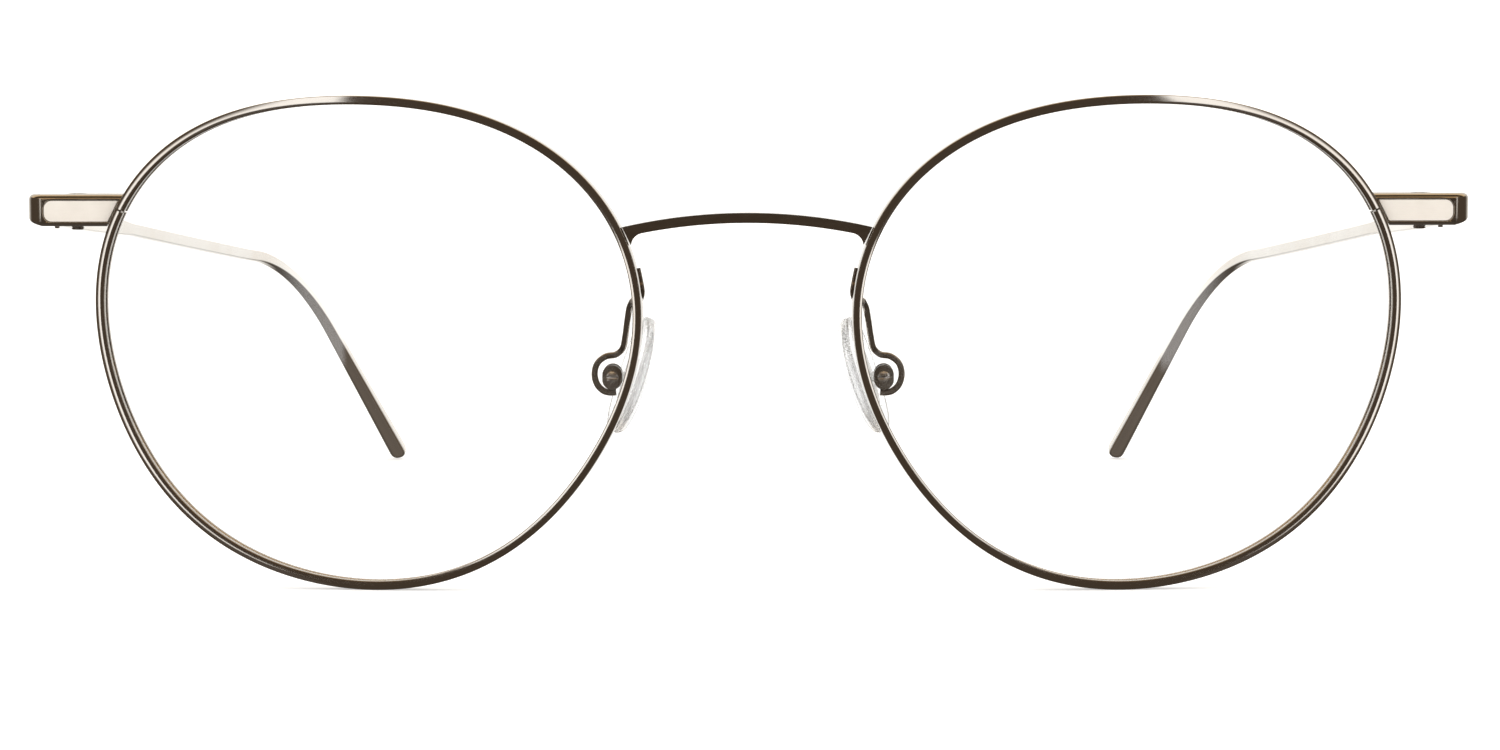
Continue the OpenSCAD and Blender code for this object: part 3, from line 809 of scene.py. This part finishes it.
def endpiece(side_name, side):
    """The bar with its turned leg and the pocket in its face."""
    bm = bmesh.new()
    skin(bm, bar_rings())
    piece = new_piece(
        "end_bar_" + side_name, bm, side, metal_body, "front",
        ["endpiece_" + side_name], 32,
    )
    # The pocket for the panel has a chamfered mouth that catches the light
    cutter_bm = bmesh.new()
    skin(cutter_bm, [inlay_ring(grow, BAR_Y + depth) for grow, depth in (
        *POCKET_MOUTH, (POCKET_WALL, POCKET_LIP), (POCKET_WALL, INLAY_T + POCKET_ROOM),
    )])
    cut_away(piece, cutter_bm, side)


# ---- Pad arms ------------------------------------------------------------------------------


ARM_STEPS = 10


def arm_points():
    """Points of the arm's centre line: its foot along the rim's back, then its hand."""
    foot = [
        rim_pt(a, RIM_W / 2 - ARM_FOOT_SINK, RIM_DEPTH + ARM_W / 2 + SOLDER_GAP)
        for a in ARM_FOOT_ANGLES
    ]
    return foot + [Vector(p) for p in ARM_HAND]


def catmull_rom(points, steps):
    """A smooth path through points."""
    def knot(i):
        return points[max(0, min(len(points) - 1, i))]

    path = []
    for i in range(len(points) - 1):
        a, b, c, d = (knot(i + k) for k in (-1, 0, 1, 2))
        for k in range(steps):
            t = k / steps
            path.append((
                2 * b + (c - a) * t + (2 * a - 5 * b + 4 * c - d) * t * t
                + (3 * b - a - 3 * c + d) * t * t * t
            ) / 2)
    return path + [points[-1]]


def pad_arm(side_name, side):
    """Flat wire bent from the rim's back round to the pad box."""
    path = catmull_rom(arm_points(), ARM_STEPS)
    last = len(path) - 1
    half_t, half_w = ARM_T / 2, ARM_W / 2
    section = rounded(
        [(-half_t, -half_w), (half_t, -half_w), (half_t, half_w), (-half_t, half_w)],
        [ARM_BEVEL] * 4, 5,
    )
    rings = []
    for i, p in enumerate(path):
        d = (path[min(last, i + 1)] - path[max(0, i - 1)]).normalized()
        v = (Vector((0, 1, 0)) - d[1] * d).normalized()
        u = v.cross(d)
        rings.append([p + q.x * u + q.y * v for q in section])
    bm = bmesh.new()
    skin(bm, rings)
    # The arm shares the wire's material, so most of its section is painted darker as the same
    # painted shade
    new_piece(
        "pad_wire_" + side_name, bm, side, metal_wire, "front",
        ["pad_arm_" + side_name], 40,
    )


# ---- Nose pads -----------------------------------------------------------------------------

PAD_STEPS = 96
OVAL_POWER = 0.85
# Shares of the outline where the face has its rings
PAD_FACE_RINGS = (0.04, 0.15, 0.3, 0.45, 0.6, 0.72, 0.82)
PAD_FACE_ROLL, PAD_FACE_ROLL_STEPS = 0.62, 7
PAD_BACK_ROLL, PAD_BACK_ROLL_STEPS = 0.45, 6
# The pocket for the insert: its width, and its place from the pad's middle towards the arm
POCKET_MORE_LEN = 3.2
POCKET_FLOOR = 0.35
PAD_POCKET = (
    (4.2, PAD_T / 2), (3.6, PAD_T / 2), (3.3, PAD_T / 2 - 0.08), (3.24, PAD_T / 2 - 0.3),
    (3.2, POCKET_FLOOR + 0.01), (2.4, POCKET_FLOOR), (1.2, POCKET_FLOOR), (0.3, POCKET_FLOOR),
)


def pad_pt(p):
    """Pad-frame point: x towards the arm, y back, z up."""
    flare = Matrix.Rotation(-PAD_FLARE, 3, "Z")
    splay = Matrix.Rotation(-PAD_SPLAY, 3, "Y")
    return PAD_PIVOT + PAD_CENTRE_SHIFT + splay @ (flare @ Vector(p))


def oval(w, h):
    """Points of a slightly squared oval."""
    points = []
    for j in range(PAD_STEPS):
        a = 2 * math.pi * j / PAD_STEPS
        c, s = math.cos(a), math.sin(a)
        points.append((
            w / 2 * math.copysign(abs(c) ** OVAL_POWER, c),
            h / 2 * math.copysign(abs(s) ** OVAL_POWER, s),
        ))
    return points


def nose_pad(side_name, side):
    """Crowned oval with a full round rim and, towards the arm, a pocket for the insert."""
    half = PAD_T / 2
    outline = oval(PAD_W, PAD_LEN)

    def crown(y, z):
        return PAD_CROWN_R - half - math.sqrt(PAD_CROWN_R ** 2 - y * y - z * z)

    def ring_at(inset, x_of):
        ring = []
        for y, z in outline:
            length = math.hypot(y, z)
            k = max(0.0, (length - inset)) / length
            ring.append(pad_pt((x_of(y * k, z * k), y * k, z * k)))
        return ring

    rings = [
        [pad_pt((crown(y * share, z * share), y * share, z * share)) for y, z in outline]
        for share in PAD_FACE_RINGS
    ]
    for k in range(PAD_FACE_ROLL_STEPS + 1):
        a = math.pi / 2 * k / PAD_FACE_ROLL_STEPS
        inset = PAD_FACE_ROLL * (1 - math.sin(a))
        lift = PAD_FACE_ROLL * (1 - math.cos(a))
        rings.append(ring_at(inset, lambda y, z, lift=lift: crown(y, z) + lift))
    for k in range(PAD_BACK_ROLL_STEPS + 1):
        a = math.pi / 2 * k / PAD_BACK_ROLL_STEPS
        inset = PAD_BACK_ROLL * (1 - math.cos(a))
        drop = PAD_BACK_ROLL * (1 - math.sin(a))
        rings.append(ring_at(inset, lambda y, z, drop=drop: half - drop))
    for width, x in PAD_POCKET:
        rings.append([pad_pt((x, *point)) for point in oval(width, width + POCKET_MORE_LEN)])
    bm = bmesh.new()
    skin(bm, rings)
    piece = new_piece(
        "silicone_pad_" + side_name, bm, side, pad_clear,
        side_name + "_pad", ["nose_pad_" + side_name], 60, even=False,
    )
    piece.visible_shadow = False


# ---- Small pieces: copies of CAD nodes with broken edges -----------------------------------


SOFT_STEPS = 2
SHARP_ANGLE = math.radians(30)
FLAT_ANGLE = math.radians(1)
SMALL_SMOOTH = 32
WELD = 1e-7


def softened(node, name, edge, material, body):
    """A copy of a CAD node, with its flat faces made whole and its sharp edges bevelled."""
    bm = bmesh.new()
    bm.from_mesh(frame["nodes"][node].data)
    bmesh.ops.remove_doubles(bm, verts=bm.verts, dist=WELD)
    bmesh.ops.dissolve_limit(
        bm, angle_limit=FLAT_ANGLE, use_dissolve_boundaries=False,
        verts=bm.verts, edges=bm.edges, delimit={"NORMAL"},
    )
    sharp = [
        e for e in bm.edges
        if len(e.link_faces) == 2 and e.calc_face_angle(0) > SHARP_ANGLE
    ]
    bmesh.ops.bevel(
        bm, geom=sharp, offset=edge * MM, segments=SOFT_STEPS, profile=0.5, affect="EDGES",
        clamp_overlap=True,
    )
    mesh = bpy.data.meshes.new(name)
    bm.to_mesh(mesh)
    bm.free()
    piece = bpy.data.objects.new(name, mesh)
    bpy.context.scene.collection.objects.link(piece)
    finish_piece(piece, material, body, [node], SMALL_SMOOTH)
    return piece


def small_pieces(side_name):
    """The softened copies of one side, each with the width of its broken edges."""
    temple_body, pad_body = side_name + "_temple", side_name + "_pad"
    for kind, name, edge, material, slot, body in (
        ("endpiece_inlay", "inlay_panel", 0.05, inlay_metal, "inlay_metal", "front"),
        ("closing_block_upper", "lock_upper", 0.1, metal_lock, "lock_metal", "front"),
        ("closing_block_lower", "lock_lower", 0.1, metal_lock, "lock_metal", "front"),
        ("front_hinge", "hinge_barrels", 0.07, metal_hinge, "hinge_metal", "front"),
        ("hinge_screw", "hinge_pin", 0.05, steel, "screw_steel", "front"),
        ("temple_hinge", "hinge_leaf", 0.07, metal_hinge, "hinge_metal", temple_body),
        ("pad_box", "pad_clevis", 0.1, metal_box, "pad_arm_metal", "front"),
        ("pad_screw", "pad_pin", 0.05, steel, "screw_steel", "front"),
        ("pad_core", "pad_insert", 0.06, core_clear, "pad_core_plastic", pad_body),
    ):
        softened(
            kind + "_" + side_name, name + "_" + side_name, edge, material, body
        )


THREAD_PITCH, THREAD_DEPTH = 0.25, 0.07
THREAD_STEPS, THREAD_LEVELS, LEVELS_A_TURN = 24, 25, 8
THREAD_RUN_OUT = 0.03


def lock_screw(side_name, side):
    """The CAD screw with a rolled thread on the end that stands out below the lower block."""
    piece = softened(
        "closing_screw_" + side_name, "lock_screw_" + side_name, 0.05, steel,
        "front",
    )
    axis = Vector((BAR_X0 + LOCK_SCREW_IN, BLOCK_Y + BLOCK_T / 2, LOCK_PT.z))
    low = -(BAR_H - BLOCK_SHORT) / 2 - LOCK_SCREW_TIP + THREAD_RUN_OUT
    rings = []
    for k in range(THREAD_LEVELS):
        z = low + THREAD_PITCH / LEVELS_A_TURN * k
        ring = []
        for j in range(THREAD_STEPS):
            a = 2 * math.pi * j / THREAD_STEPS
            phase = (z / THREAD_PITCH - j / THREAD_STEPS) % 1
            r = LOCK_SCREW_R + THREAD_DEPTH * (1 - 2 * abs(phase - 0.5))
            ring.append(axis + Vector((r * math.cos(a), r * math.sin(a), z)))
        rings.append(ring)
    bm = bmesh.new()
    skin(bm, rings)
    for v in bm.verts:
        v.co = in_row(v.co, side)
    bmesh.ops.recalc_face_normals(bm, faces=bm.faces)
    bm.from_mesh(piece.data)
    bm.to_mesh(piece.data)
    bm.free()
    even_normals(piece, SMALL_SMOOTH)


for side_name, side in SIDES.items():
    eyewire(side_name, side)
    endpiece(side_name, side)
    lock_screw(side_name, side)
    lens(side_name, side)
    temple(side_name, side)
    pad_arm(side_name, side)
    nose_pad(side_name, side)
    small_pieces(side_name)
bridge()

# ---- Stage, light and camera ---------------------------------------------------------------

# The floor ends a little in front of the glasses, so the polished faces look past its edge
FLOOR_FRONT, FLOOR_BACK, FLOOR_SIDE = -0.28, 4.0, 3.0
FLOOR_DROP = 0.00002


def stage_floor():
    bm = bmesh.new()
    corners = (
        (-FLOOR_SIDE, FLOOR_FRONT), (FLOOR_SIDE, FLOOR_FRONT),
        (FLOOR_SIDE, FLOOR_BACK), (-FLOOR_SIDE, FLOOR_BACK),
    )
    bm.faces.new([bm.verts.new((x, y, 0)) for x, y in corners])
    mesh = bpy.data.meshes.new("stage_floor")
    bm.to_mesh(mesh)
    bm.free()
    floor = bpy.data.objects.new("stage_floor", mesh)
    bpy.context.scene.collection.objects.link(floor)
    floor.location.z = -FLOOR_DROP
    s = Shader("pale_floor")
    grain = s.noise(s.place, 30, 3)
    s.set(
        Base_Color=s.ramp(grain, ((0.3, (0.93, 0.93, 0.93, 1)), (0.7, (0.95, 0.95, 0.95, 1)))),
        Roughness=0.9, Emission_Color=(1, 1, 1, 1), Emission_Strength=0.5,
    )
    floor.data.materials.append(s.mat)
    floor.visible_glossy = False


# Colours round the X axis, in degrees: 0 at the camera, 90 up, 180 straight back, -90 down
MIDDLE = (
    (-180, (1.1, 1.08, 1.04)), (-166, (1.04, 1.02, 0.98)), (-155, (0.5, 0.48, 0.45)),
    (-146, (0.06, 0.052, 0.045)), (-120, (0.09, 0.075, 0.06)), (-90, (0.14, 0.115, 0.095)),
    (-50, (0.1, 0.085, 0.07)), (-20, (0.08, 0.062, 0.046)), (12, (0.085, 0.06, 0.042)),
    (16, (0.75, 0.5, 0.25)), (33, (0.85, 0.58, 0.3)), (38, (0.07, 0.05, 0.035)),
    (78, (0.08, 0.055, 0.04)), (84, (1.15, 0.85, 0.5)), (110, (1.25, 1.0, 0.7)),
    (134, (1.15, 1.05, 0.9)), (150, (1.1, 1.07, 1.02)), (180, (1.1, 1.08, 1.04)),
)
# Colours of the upright strips, by height: -1 straight down, 0 level, 1 straight up
STRIP = (
    (-1.0, (0.12, 0.1, 0.085)), (-0.132, (0.12, 0.1, 0.085)), (-0.108, (1.6, 1.57, 1.54)),
    (0.3, (1.6, 1.57, 1.54)), (0.5, (0.16, 0.12, 0.08)), (1.0, (1.1, 0.85, 0.55)),
)
FLANK = (0.12, 0.09, 0.065, 1)
# Where the strips and the flanks behind them begin and end, in degrees from the camera
STRIP_START, STRIP_END = (17.0, 17.6), (21, 25)
FLANK_START, FLANK_END = (21, 30), (100, 140)
# Both fade out between these heights
LEVEL_END = (0.35, 0.5)
# What the clear pads show gets dimmer by this share between these heights
PAD_DIM, PAD_DIM_HEIGHTS = 0.5, (0.35, 0.8)
PADS_SEE, DIFFUSE_SEES, CAMERA_SEES = 1.14, 1.0, 1.3


def studio_world():
    """A soft studio: white behind, warm overhead, dark in front, and a pale strip each side.

    Camera rays and what the clear pads let through see plain white instead.
    """
    world = bpy.data.worlds.new("studio")
    bpy.context.scene.world = world
    world.use_nodes = True
    tree = world.node_tree
    tree.nodes.clear()

    def add(kind, **settings):
        node = tree.nodes.new(kind)
        for key, value in settings.items():
            setattr(node, key, value)
        return node

    def calc(operation, a, b=0.0, c=0.0):
        node = add("ShaderNodeMath", operation=operation)
        for socket, value in zip(node.inputs, (a, b, c)):
            if isinstance(value, bpy.types.NodeSocket):
                tree.links.new(value, socket)
            else:
                socket.default_value = value
        return node.outputs["Value"]

    def ramp_of(value, stops):
        node = add("ShaderNodeValToRGB")
        tree.links.new(value, node.inputs["Fac"])
        return fill_ramp(node, [(at, (*colour, 1)) for at, colour in stops])

    def mixed(share, a, b):
        node = add("ShaderNodeMix", data_type="RGBA")
        for socket, value in ((node.inputs[0], share), (node.inputs[6], a), (node.inputs[7], b)):
            if isinstance(value, bpy.types.NodeSocket):
                tree.links.new(value, socket)
            else:
                socket.default_value = value
        return node.outputs[2]

    way = add("ShaderNodeTexCoord").outputs["Generated"]
    split = add("ShaderNodeSeparateXYZ")
    tree.links.new(way, split.inputs[0])
    x, y, z = split.outputs
    # Turn round the X axis, from 0 to 1, with the camera at 0.5
    turn = calc("ARCTAN2", z, calc("MULTIPLY", y, -1.0))
    turn = calc("MULTIPLY_ADD", turn, 1 / (2 * math.pi), 0.5)
    middle = ramp_of(turn, [(0.5 + degrees / 360, colour) for degrees, colour in MIDDLE])
    strip = ramp_of(
        calc("MULTIPLY_ADD", z, 0.5, 0.5), [(0.5 + height / 2, colour) for height, colour in STRIP]
    )

    def step(value, low, high):
        node = add("ShaderNodeMapRange", interpolation_type="SMOOTHSTEP")
        tree.links.new(value, node.inputs["Value"])
        node.inputs["From Min"].default_value = low
        node.inputs["From Max"].default_value = high
        return node.outputs["Result"]

    # Turn round the Z axis, in degrees from the camera, the same to the left and the right
    swing = calc("ARCTAN2", calc("ABSOLUTE", x), calc("MULTIPLY", y, -1.0))
    swing = calc("MULTIPLY", swing, 180 / math.pi)
    height = calc("ABSOLUTE", z)
    level = calc("SUBTRACT", 1.0, step(height, *LEVEL_END))

    def between(start, end):
        return calc("MULTIPLY", step(swing, *start), calc("SUBTRACT", 1.0, step(swing, *end)))

    in_strip, in_flank = between(STRIP_START, STRIP_END), between(FLANK_START, FLANK_END)
    studio = mixed(calc("MULTIPLY", in_strip, level), middle, strip)
    studio = mixed(calc("MULTIPLY", in_flank, level), studio, FLANK)

    def background(colour, strength):
        node = add("ShaderNodeBackground")
        if isinstance(colour, bpy.types.NodeSocket):
            tree.links.new(colour, node.inputs["Color"])
        else:
            node.inputs["Color"].default_value = colour
        node.inputs["Strength"].default_value = strength
        return node.outputs[0]

    def pick(share, a, b):
        node = add("ShaderNodeMixShader")
        tree.links.new(share, node.inputs[0])
        tree.links.new(a, node.inputs[1])
        tree.links.new(b, node.inputs[2])
        return node.outputs[0]

    path = add("ShaderNodeLightPath").outputs
    white = (1, 1, 1, 1)
    shown = background(studio, 1.0)
    # What the pads show is white, but dimmer where they bend the view steeply
    inside = calc("GREATER_THAN", path["Transmission Depth"], 0.5)
    dim = calc("MULTIPLY", step(height, *PAD_DIM_HEIGHTS), PAD_DIM)
    behind = calc("MULTIPLY", inside, calc("SUBTRACT", 1.0, dim))
    shown = pick(behind, shown, background(white, PADS_SEE))
    shown = pick(path["Is Diffuse Ray"], shown, background(white, DIFFUSE_SEES))
    shown = pick(path["Is Camera Ray"], shown, background(white, CAMERA_SEES))
    out = add("ShaderNodeOutputWorld")
    tree.links.new(shown, out.inputs["Surface"])


# Where the camera stands, in millimetres with the middle of the glasses' front at Y = 0, and how
# it is turned
CAM_AT = Vector((3.7, -422.2, 52.6))
CAM_YAW, CAM_PITCH, CAM_ROLL = (math.radians(a) for a in (-0.467, -4.326, -0.072))
CAM_LENS, CAM_SENSOR = 107.9, 36


def studio_camera():
    data = bpy.data.cameras.new("camera")
    camera = bpy.data.objects.new("camera", data)
    bpy.context.scene.collection.objects.link(camera)
    data.sensor_width = CAM_SENSOR
    data.lens = CAM_LENS
    data.clip_start, data.clip_end = 0.01, 50
    ahead = Vector((
        math.sin(CAM_YAW) * math.cos(CAM_PITCH), math.cos(CAM_YAW) * math.cos(CAM_PITCH),
        math.sin(CAM_PITCH),
    ))
    right = ahead.cross(Vector((0, 0, 1))).normalized()
    up = right.cross(ahead)
    across = right * math.cos(CAM_ROLL) + up * math.sin(CAM_ROLL)
    upright = up * math.cos(CAM_ROLL) - right * math.sin(CAM_ROLL)
    camera.matrix_world = Matrix.Translation(in_row(CAM_AT, LEFT)) @ Matrix(
        (across, upright, -ahead)
    ).transposed().to_4x4()
    bpy.context.scene.camera = camera


stage_floor()
studio_world()
studio_camera()
bpy.context.scene.view_settings.view_transform = "Standard"
